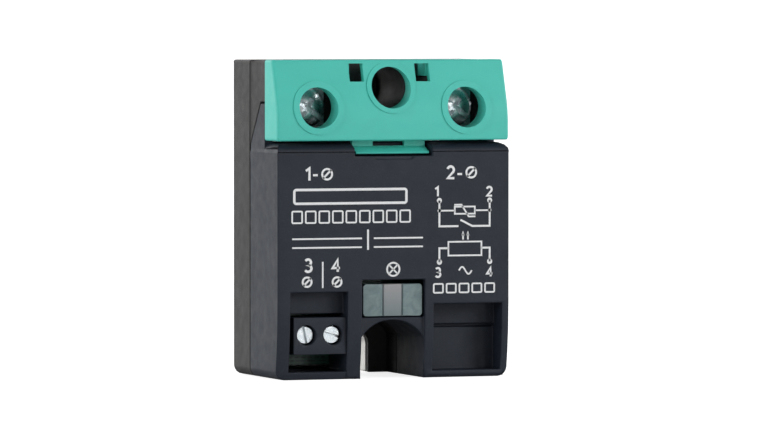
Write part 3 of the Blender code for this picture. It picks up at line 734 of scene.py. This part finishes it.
class Surface:
    """A Principled material and the few node chains that the finishes share."""

    def __init__(self, name, colour, roughness, metallic=0.0):
        self.material = bpy.data.materials.new(name)
        self.material.use_nodes = True
        self.tree = self.material.node_tree
        self.shader = self.tree.nodes["Principled BSDF"]
        self.shader.inputs["Base Color"].default_value = (*colour, 1)
        self.shader.inputs["Roughness"].default_value = roughness
        self.shader.inputs["Metallic"].default_value = metallic
        self.place = self.tree.nodes.new("ShaderNodeTexCoord").outputs["Object"]
        self.normal = None

    def put(self, kind, **values):
        """Adds a node of that kind and sets its properties."""
        node = self.tree.nodes.new(kind)
        for key, value in values.items():
            setattr(node, key, value)
        return node

    def stretched(self, scale):
        node = self.put("ShaderNodeMapping")
        node.inputs["Scale"].default_value = scale
        self.tree.links.new(self.place, node.inputs["Vector"])
        return node.outputs["Vector"]

    def turned_upright(self):
        """Places with height as the second axis, for textures that lie in a plane."""
        node = self.put("ShaderNodeMapping")
        node.inputs["Rotation"].default_value = (math.radians(-90), 0, 0)
        self.tree.links.new(self.place, node.inputs["Vector"])
        return node.outputs["Vector"]

    def axis(self, letter):
        """Where a point lies along X, Y or Z, in millimetres."""
        node = self.put("ShaderNodeSeparateXYZ")
        self.tree.links.new(self.place, node.inputs[0])
        return self.spread(node.outputs[letter], 0, 1, 0, MM, False)

    def noise(self, size, detail=2.0, roughness=0.5, distortion=0.0, place=None):
        """Noise whose features are about size millimetres across."""
        node = self.put("ShaderNodeTexNoise")
        node.inputs["Scale"].default_value = 1 / (size * MM)
        node.inputs["Detail"].default_value = detail
        node.inputs["Roughness"].default_value = roughness
        node.inputs["Distortion"].default_value = distortion
        self.tree.links.new(place or self.place, node.inputs["Vector"])
        return node.outputs["Fac"]

    def cells(self, size):
        """Distance to the nearest of a set of scattered points, about size millimetres apart."""
        node = self.put("ShaderNodeTexVoronoi")
        node.inputs["Scale"].default_value = 1 / (size * MM)
        self.tree.links.new(self.place, node.inputs["Vector"])
        return node.outputs["Distance"]

    def spread(self, value, low, high, start=0.0, end=1.0, clamp=True):
        """Maps the stretch start to end of a value onto low to high."""
        node = self.put("ShaderNodeMapRange", clamp=clamp)
        for key, number in (("From Min", start), ("From Max", end),
                            ("To Min", low), ("To Max", high)):
            node.inputs[key].default_value = number
        self.tree.links.new(value, node.inputs["Value"])
        return node.outputs["Result"]

    def blend(self, factor, first, second):
        """Mixes two colours, or outputs, by a factor."""
        node = self.put("ShaderNodeMix", data_type="RGBA")
        self.tree.links.new(factor, node.inputs[0])
        for socket, colour in ((node.inputs[6], first), (node.inputs[7], second)):
            if isinstance(colour, bpy.types.NodeSocket):
                self.tree.links.new(colour, socket)
            else:
                socket.default_value = (*colour, 1)
        return node.outputs[2]

    def colour(self, output):
        self.tree.links.new(output, self.shader.inputs["Base Color"])

    def rough(self, output):
        self.tree.links.new(output, self.shader.inputs["Roughness"])

    def bump(self, height, depth):
        """Adds relief about depth micrometres deep to what is there already."""
        node = self.put("ShaderNodeBump")
        node.inputs["Distance"].default_value = depth * 1e-6
        self.tree.links.new(height, node.inputs["Height"])
        if self.normal:
            self.tree.links.new(self.normal, node.inputs["Normal"])
        self.normal = node.outputs["Normal"]
        self.tree.links.new(self.normal, self.shader.inputs["Normal"])

    def set(self, **values):
        """Sets the shader's own values; an underscore stands for a space."""
        for key, value in values.items():
            self.shader.inputs[key.replace("_", " ")].default_value = value
        return self


def tinted(colour, factor):
    return tuple(min(1.0, channel * factor) for channel in colour)


def moulded(name, colour, roughness, grain, depth, variation=0.06, speck=1.35, specular=0.45):
    """Moulded plastic with a spark-eroded grain, faint flow marks and specks.

    The grain's size is in millimetres and its depth in micrometres; variation is how far the
    colour drifts either way, and speck how much brighter the specks are.
    """
    surface = Surface(name, colour, roughness)
    flow = surface.noise(9.0, 3.0, 0.55, 0.6)
    dust = surface.noise(grain * 1.7, 4.0, 0.7)
    base = surface.blend(surface.spread(flow, 0, 1, 0.3, 0.7),
                         tinted(colour, 1 - variation), tinted(colour, 1 + variation))
    surface.colour(surface.blend(surface.spread(dust, 0, 0.55, 0.52, 0.8), base,
                                 tinted(colour, speck)))
    surface.rough(surface.spread(surface.noise(2.2, 4.0, 0.6), roughness - 0.06,
                                 roughness + 0.07, 0.3, 0.7))
    surface.bump(surface.noise(grain, 3.0, 0.65), depth)
    surface.bump(surface.noise(4.0, 2.0), depth * 0.6)
    return surface.set(Specular_IOR_Level=specular).material


def plated_steel():
    """Bright zinc plating, faintly blue, with cloudy patches and small dents."""
    surface = Surface("bright_zinc", (0.50, 0.55, 0.60), 0.28, 1.0)
    patches = surface.noise(0.8, 4.0, 0.6, 0.4)
    surface.colour(surface.blend(surface.spread(patches, 0, 1, 0.35, 0.65),
                                 (0.58, 0.65, 0.69), (0.76, 0.79, 0.81)))
    surface.rough(surface.spread(surface.noise(0.25, 4.0, 0.7), 0.24, 0.36, 0.3, 0.7))
    surface.bump(surface.noise(0.15, 3.0, 0.6), 1)
    surface.bump(surface.noise(0.9, 2.0), 3)
    return surface.material


def tinned():
    """Tinned copper strip with rolling lines."""
    surface = Surface("tinned_copper_strip", (0.78, 0.76, 0.72), 0.3, 1.0)
    rolled = surface.noise(0.5, 3.0, 0.6, 0.0, surface.stretched((6, 6, 0.4)))
    surface.colour(surface.blend(surface.spread(rolled, 0, 1, 0.3, 0.7),
                                 (0.70, 0.66, 0.60), (0.84, 0.83, 0.80)))
    surface.rough(surface.spread(rolled, 0.22, 0.42, 0.3, 0.7))
    surface.bump(rolled, 8)
    return surface.material


def milled_metal():
    """Aluminium base plate with fine milling lines and a few handling marks."""
    surface = Surface("milled_aluminium", (0.80, 0.79, 0.76), 0.34, 1.0)
    lines = surface.noise(0.35, 3.0, 0.7, 0.0, surface.stretched((0.04, 1, 1)))
    marks = surface.noise(3.5, 5.0, 0.65)
    surface.colour(surface.blend(surface.spread(marks, 0, 1, 0.35, 0.7),
                                 (0.75, 0.74, 0.71), (0.81, 0.80, 0.77)))
    surface.rough(surface.spread(marks, 0.30, 0.40, 0.3, 0.7))
    surface.bump(lines, 14)
    surface.bump(surface.noise(0.1, 3.0), 4)
    return surface.material


def frosted_pipe():
    """Milky acrylic: greenish side cells, a paler middle one painted whiter towards its top as a
    painted highlight, cloudy all through.
    """
    surface = Surface("frosted_acrylic", (0.22, 0.26, 0.27), 0.38)
    cloud = surface.noise(1.6, 4.0, 0.6, 0.5)
    side = surface.blend(surface.spread(cloud, 0, 1, 0.35, 0.7), (0.14, 0.205, 0.215),
                         (0.23, 0.31, 0.32))
    # Painted highlight: the middle cell goes from grey-green at 12 mm height up to near white at 17
    # mm.
    middle = surface.blend(surface.spread(surface.axis("Z"), 0, 1, 12, 17), (0.20, 0.25, 0.265),
                           (0.36, 0.36, 0.37))
    from_middle = surface.put("ShaderNodeMath", operation="ABSOLUTE")
    surface.tree.links.new(surface.axis("X"), from_middle.inputs[0])
    edge = surface.spread(from_middle.outputs[0], 0, 1, LENS_GROOVE - 0.15, LENS_GROOVE + 0.15)
    surface.colour(surface.blend(edge, middle, side))
    surface.rough(surface.spread(surface.noise(0.3, 4.0, 0.6), 0.28, 0.5, 0.3, 0.7))
    surface.bump(surface.noise(0.18, 3.0, 0.6), 6)
    return surface.set(Transmission_Weight=0.12, IOR=1.49).material


def print_ink():
    """White pad print with slightly uneven cover."""
    surface = Surface("white_print", (0.80, 0.82, 0.82), 0.6)
    cover = surface.noise(0.22, 4.0, 0.65)
    surface.colour(surface.blend(surface.spread(cover, 0, 1, 0.25, 0.5),
                                 (0.60, 0.64, 0.66), (0.84, 0.85, 0.86)))
    surface.bump(surface.noise(0.1, 3.0), 5)
    return surface.material


def solder_mask():
    """Green laminate, painted dark as shade deep inside the housing, with lighter tracks under the
    mask and tinned pads.
    """
    surface = Surface("board_mask", (0.02, 0.16, 0.08), 0.35)
    grid = surface.put("ShaderNodeTexBrick", offset=0.37, squash=1.6)
    grid.inputs["Scale"].default_value = 1 / (2.6 * MM)
    grid.inputs["Mortar Size"].default_value = 0.09
    grid.inputs["Mortar Smooth"].default_value = 0.2
    surface.tree.links.new(surface.turned_upright(), grid.inputs["Vector"])
    tracks = grid.outputs["Fac"]
    pads = surface.spread(surface.cells(3.1), 1, 0, 0.10, 0.14)
    # Painted shade: both greens of the mask are painted far darker than the board's own green, for
    # the shade deep inside the housing.
    mask = surface.blend(tracks, (0.004, 0.045, 0.03), (0.012, 0.085, 0.055))
    surface.colour(surface.blend(pads, mask, (0.45, 0.45, 0.43)))
    surface.rough(surface.spread(surface.noise(0.6, 4.0), 0.25, 0.45, 0.3, 0.7))
    surface.bump(tracks, 18)
    return surface.material


def ceramic():
    surface = Surface("alumina", (0.80, 0.79, 0.75), 0.55)
    grain = surface.noise(0.12, 4.0, 0.7)
    surface.colour(surface.blend(surface.spread(grain, 0, 1, 0.3, 0.7), (0.74, 0.73, 0.69),
                                 (0.84, 0.83, 0.80)))
    surface.rough(surface.spread(surface.noise(1.5, 3.0), 0.45, 0.65, 0.3, 0.7))
    surface.bump(grain, 7)
    return surface.material


def silicon():
    surface = Surface("chip", (0.16, 0.17, 0.19), 0.22, 0.7)
    lapped = surface.noise(0.4, 3.0, 0.6, 0.0, surface.stretched((1, 1, 5)))
    surface.colour(surface.blend(surface.spread(lapped, 0, 1, 0.3, 0.7), (0.12, 0.13, 0.15),
                                 (0.22, 0.23, 0.25)))
    surface.rough(surface.spread(lapped, 0.16, 0.32, 0.3, 0.7))
    surface.bump(lapped, 3)
    return surface.material


def wrinkled_coat(name, colour, roughness):
    """Dipped epoxy that has run and wrinkled a little."""
    surface = Surface(name, colour, roughness)
    runs = surface.noise(1.4, 4.0, 0.6, 0.8)
    surface.colour(surface.blend(surface.spread(runs, 0, 1, 0.3, 0.7), tinted(colour, 0.82),
                                 tinted(colour, 1.1)))
    surface.rough(surface.spread(surface.noise(0.5, 3.0), roughness - 0.08, roughness + 0.1,
                                 0.3, 0.7))
    surface.bump(runs, 45)
    surface.bump(surface.noise(0.15, 3.0), 8)
    return surface.material


def banded_resistor():
    """Beige film resistor with four colour bands round its body."""
    body = (0.55, 0.42, 0.26)
    surface = Surface("resistor_coat", body, 0.4)
    runs = surface.noise(0.7, 3.0, 0.6)
    colour = surface.blend(surface.spread(runs, 0, 1, 0.3, 0.7), tinted(body, 0.85),
                           tinted(body, 1.08))
    place = surface.axis("X")
    bands = ((-14.3, (0.45, 0.20, 0.03)), (-13.0, (0.02, 0.02, 0.02)), (-11.7, (0.50, 0.03, 0.02)),
             (-9.6, (0.60, 0.45, 0.12)))
    for centre, tone in bands:
        off = surface.put("ShaderNodeMath", operation="COMPARE")
        off.inputs[1].default_value = centre
        off.inputs[2].default_value = 0.32
        surface.tree.links.new(place, off.inputs[0])
        colour = surface.blend(off.outputs[0], colour, tone)
    surface.colour(colour)
    surface.rough(surface.spread(runs, 0.32, 0.5, 0.3, 0.7))
    surface.bump(runs, 20)
    return surface.material


def lamp_resin():
    """Faintly green clear resin of the light-emitting diode."""
    surface = Surface("lamp_resin", (0.55, 0.75, 0.55), 0.2)
    cloud = surface.noise(0.6, 3.0)
    surface.colour(surface.blend(surface.spread(cloud, 0, 1, 0.3, 0.7), (0.45, 0.68, 0.46),
                                 (0.65, 0.82, 0.64)))
    surface.rough(surface.spread(cloud, 0.14, 0.3, 0.3, 0.7))
    surface.bump(cloud, 6)
    return surface.set(Transmission_Weight=0.4, IOR=1.5).material


# ---------------------------------------------------------------- camera, floor and light

def set_camera():
    data = bpy.data.cameras.new("camera")
    data.lens = VIEW_LENS
    data.sensor_width = 36
    data.clip_start = 0.01
    data.clip_end = 1000
    camera = link("camera", data)
    ahead = Vector((math.sin(VIEW_TURN) * math.cos(VIEW_DROP),
                    math.cos(VIEW_TURN) * math.cos(VIEW_DROP), -math.sin(VIEW_DROP)))
    right = Vector((math.cos(VIEW_TURN), -math.sin(VIEW_TURN), 0))
    up = right.cross(ahead)
    camera.location = CENTRE - ahead * VIEW_DISTANCE + right * VIEW_RIGHT + up * VIEW_UP
    camera.rotation_euler = Matrix((right, up, -ahead)).transposed().to_euler()
    bpy.context.scene.camera = camera


def soft_light(name, place, size, power):
    """An area light turned to the middle of the relay."""
    data = bpy.data.lights.new(name, "AREA")
    data.shape = "RECTANGLE"
    data.size, data.size_y = size
    data.energy = power
    light = link(name, data)
    light.location = place
    light.rotation_euler = (Vector(place) - CENTRE).to_track_quat("Z", "Y").to_euler()


def set_floor():
    """A wide pale floor in rings, lit up for the camera so that it reads as white paper."""
    work = bmesh.new()
    bmesh.ops.create_circle(work, cap_ends=True, segments=64, radius=FLOOR_RADII[0])
    for near, far in zip(FLOOR_RADII, FLOOR_RADII[1:]):
        outer = [edge for edge in work.edges if edge.is_boundary]
        made = bmesh.ops.extrude_edge_only(work, edges=outer)["geom"]
        grown = [part for part in made if isinstance(part, bmesh.types.BMVert)]
        bmesh.ops.scale(work, vec=(far / near, far / near, 1), verts=grown)
    floor = piece_from("floor", work)
    paper = Surface("pale_floor", (0.6, 0.6, 0.6), 0.8)
    paper.colour(paper.blend(paper.noise(60, 2.0), (0.59, 0.59, 0.59), (0.61, 0.61, 0.61)))
    seen = paper.spread(paper.put("ShaderNodeLightPath").outputs["Is Camera Ray"], 0, FLOOR_GLOW)
    paper.tree.links.new(seen, paper.shader.inputs["Emission Strength"])
    paper.set(Emission_Color=(1, 1, 1, 1), Specular_IOR_Level=0.1)
    floor.data.materials.append(paper.material)


def set_sky():
    """A soft white room, brighter behind the relay than in front; it is seen as plain white."""
    world = bpy.data.worlds.new("studio")
    bpy.context.scene.world = world
    world.use_nodes = True
    tree = world.node_tree
    sky = tree.nodes["Background"]
    sky.inputs["Color"].default_value = (1, 1, 1, 1)
    way = tree.nodes.new("ShaderNodeTexCoord")
    parts = tree.nodes.new("ShaderNodeSeparateXYZ")
    tree.links.new(way.outputs["Generated"], parts.inputs[0])
    fades = []
    for axis, start, end, low, high in (("Y", -0.7, 0.7, SKY_FRONT, SKY_BEHIND),
                                        ("Z", 0.15, 0.8, 1.0, SKY_ABOVE)):
        fade = tree.nodes.new("ShaderNodeMapRange")
        fade.interpolation_type = "SMOOTHSTEP"
        for key, number in (("From Min", start), ("From Max", end), ("To Min", low),
                            ("To Max", high)):
            fade.inputs[key].default_value = number
        tree.links.new(parts.outputs[axis], fade.inputs["Value"])
        fades.append(fade.outputs["Result"])
    glow = tree.nodes.new("ShaderNodeMath")
    glow.operation = "MULTIPLY"
    tree.links.new(fades[0], glow.inputs[0])
    tree.links.new(fades[1], glow.inputs[1])
    seen = tree.nodes.new("ShaderNodeLightPath")
    pick = tree.nodes.new("ShaderNodeMix")
    tree.links.new(seen.outputs["Is Camera Ray"], pick.inputs[0])
    tree.links.new(glow.outputs[0], pick.inputs[2])
    pick.inputs[3].default_value = 1.0
    tree.links.new(pick.outputs[0], sky.inputs["Strength"])


def set_studio():
    set_floor()
    set_sky()
    bpy.context.scene.view_settings.view_transform = "Standard"
    for lamp in LAMPS:
        soft_light(*lamp)


# ---------------------------------------------------------------- build

def shells(dark, rear, green):
    refined("rear_housing", 0.2, rear, name="rear_moulding")
    refined("front_cover", 0.2, dark, name="front_moulding", cut_at=ROLL_END)
    terminal_cover(green)
    refined("control_terminal_block", 0.1, dark, name="control_block_moulding")


def metal_parts(zinc, tin):
    for side in ("line", "load"):
        power_screw(side, zinc)
        refined(side + "_clamp_washer", 0.15, zinc, body=side + "_clamp")
        refined(side + "_terminal_nut", 0.2, zinc)
        refined(side + "_hinge_pin", 0.1, zinc)
        refined(side + "_busbar", 0.12, tin)
    for index in (1, 2):
        control_screw(index, zinc)
        refined("clamp_cage_a%d" % index, 0.1, zinc, body="cage_%d" % index)
        refined("contact_bar_a%d" % index, 0.08, tin)
    for index in range(1, 5):
        refined("gate_pin_%d" % index, 0.06, tin)
    refined("base_plate", 0.15, milled_metal())


def electronics():
    black = moulded("black_epoxy", (0.018, 0.018, 0.02), 0.5, grain=0.1, depth=8)
    refined("control_board", 0.06, solder_mask())
    refined("ceramic_substrate", 0.06, ceramic())
    chip = silicon()
    refined("line_thyristor", 0.04, chip)
    refined("load_thyristor", 0.04, chip)
    refined("optocoupler", 0.12, black)
    refined("bridge_rectifier", 0.15, black)
    refined("varistor", 0.7, wrinkled_coat("varistor_coat", (0.05, 0.16, 0.42), 0.35), 4)
    refined("snubber_capacitor", 0.35, wrinkled_coat("capacitor_box", (0.62, 0.42, 0.05), 0.42), 3)
    resistor = banded_resistor()
    refined("snubber_resistor", 0.45, resistor, 4)
    refined("input_resistor", 0.45, resistor, 4)
    refined("status_led", 0.2, lamp_resin(), 3)


def prints(ink):
    for name, draw in (("power_marks", draw_power_marks), ("control_marks", draw_control_marks),
                       ("lamp_mark", draw_lamp_mark), ("write_on_fields", draw_write_on_fields),
                       ("wiring_diagram", draw_wiring)):
        printed(name, draw, ink)


def main():
    set_camera()
    set_studio()
    dark = moulded("dark_moulding", (0.014, 0.019, 0.030), 0.5, grain=0.16, depth=42,
                   variation=0.1, speck=2.2, specular=0.3)
    rear = moulded("rear_dark_moulding", (0.026, 0.025, 0.025), 0.55, grain=0.17, depth=42,
                   variation=0.1, speck=2.0, specular=0.35)
    green = moulded("teal_moulding", (0.065, 0.55, 0.46), 0.45, grain=0.2, depth=6,
                    variation=0.03, speck=1.12)
    shells(dark, rear, green)
    metal_parts(plated_steel(), tinned())
    electronics()
    light_pipe(frosted_pipe())
    prints(print_ink())


main()
